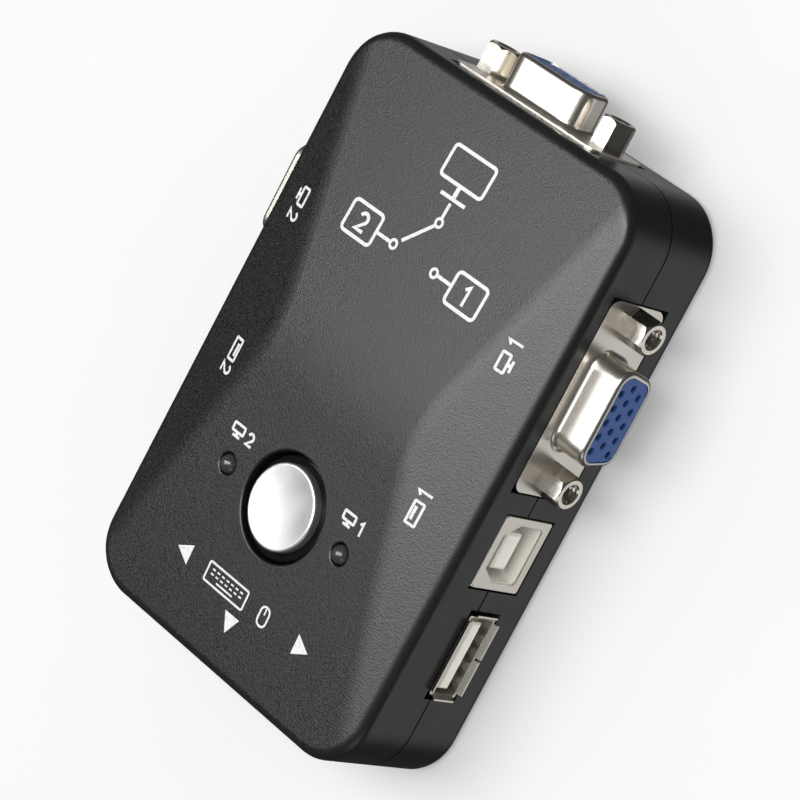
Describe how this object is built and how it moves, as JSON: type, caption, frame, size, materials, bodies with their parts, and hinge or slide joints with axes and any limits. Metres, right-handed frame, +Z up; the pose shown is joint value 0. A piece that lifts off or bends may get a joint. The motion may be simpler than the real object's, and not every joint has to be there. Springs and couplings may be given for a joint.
{
  "type": "kvm switch",
  "caption": "Small black desktop KVM switch with a silver push button between lamps, VGA sockets with screwlocks, and USB-A and USB-B sockets on one board.",
  "frame": {"origin": "centre of the case in plan, on its flat underside", "axes": "+Z up; +Y towards the end with the monitor VGA socket; +X towards the side of computer 1"},
  "size_m": [0.0736, 0.1024, 0.0243],
  "materials": {
    "case_plastic": "finely sand-textured black ABS, satin sides",
    "board_green": "green solder mask on glass epoxy",
    "zinc_steel": "bright zinc plate",
    "nickel_plate": "bright nickel plate",
    "blue_plastic": "moulded blue PBT",
    "white_plastic": "moulded natural white nylon",
    "gold_contact": "flash gold plate",
    "silver_cap": "satin silver coating",
    "black_gloss_plastic": "polished black ABS",
    "spring_steel": "drawn spring wire",
    "lamp_epoxy": "clear moulded epoxy",
    "tinned_lead": "tinned",
    "chip_black": "moulded black epoxy",
    "resistor_ceramic": "black overglaze",
    "crystal_can": "drawn nickel-silver can",
    "capacitor_can": "drawn aluminium can"
  },
  "bodies": {
    "case": {"bottom_cover": "case_plastic", "bus_switch_chip": "chip_black", "bus_switch_chip_leads": "tinned_lead", "capacitors": "capacitor_can", "case_screws": "zinc_steel", "chip_resistors": "resistor_ceramic", "circuit_board": "board_green", "controller_chip": "chip_black", "controller_chip_leads": "tinned_lead", "crystal": "crystal_can", "led_pc1_leads": "tinned_lead", "led_pc1_lens": "lamp_epoxy", "led_pc2_leads": "tinned_lead", "led_pc2_lens": "lamp_epoxy", "switch_housing": "black_gloss_plastic", "switch_pins": "tinned_lead", "switch_spring": "spring_steel", "top_cover": "case_plastic", "usb_a_end_contacts": "gold_contact", "usb_a_end_insulator": "white_plastic", "usb_a_end_shell": "nickel_plate", "usb_a_left_contacts": "gold_contact", "usb_a_left_insulator": "white_plastic", "usb_a_left_shell": "nickel_plate", "usb_a_right_contacts": "gold_contact", "usb_a_right_insulator": "white_plastic", "usb_a_right_shell": "nickel_plate", "usb_b_pc1_contacts": "gold_contact", "usb_b_pc1_insulator": "white_plastic", "usb_b_pc1_shell": "nickel_plate", "usb_b_pc2_contacts": "gold_contact", "usb_b_pc2_insulator": "white_plastic", "usb_b_pc2_shell": "nickel_plate", "vga_console_bracket": "zinc_steel", "vga_console_contacts": "gold_contact", "vga_console_insulator": "blue_plastic", "vga_console_jackscrews": "nickel_plate", "vga_console_shell": "nickel_plate", "vga_jackscrew_nuts": "zinc_steel", "vga_pc1_bracket": "zinc_steel", "vga_pc1_contacts": "gold_contact", "vga_pc1_insulator": "blue_plastic", "vga_pc1_jackscrews": "nickel_plate", "vga_pc1_shell": "nickel_plate", "vga_pc2_bracket": "zinc_steel", "vga_pc2_contacts": "gold_contact", "vga_pc2_insulator": "blue_plastic", "vga_pc2_jackscrews": "nickel_plate", "vga_pc2_shell": "nickel_plate"},
    "button": {"button_cap": "silver_cap", "button_stem": "black_gloss_plastic", "switch_plunger": "white_plastic"}
  },
  "joints": [
    {"name": "button_press", "type": "slide", "parent": "case", "child": "button", "axis": [0, 0, -1], "range_m": [0, 0.0015], "stiffness_N_per_m": 300, "springref_m": -0.003, "deforming": ["switch_spring"]}
  ]
}
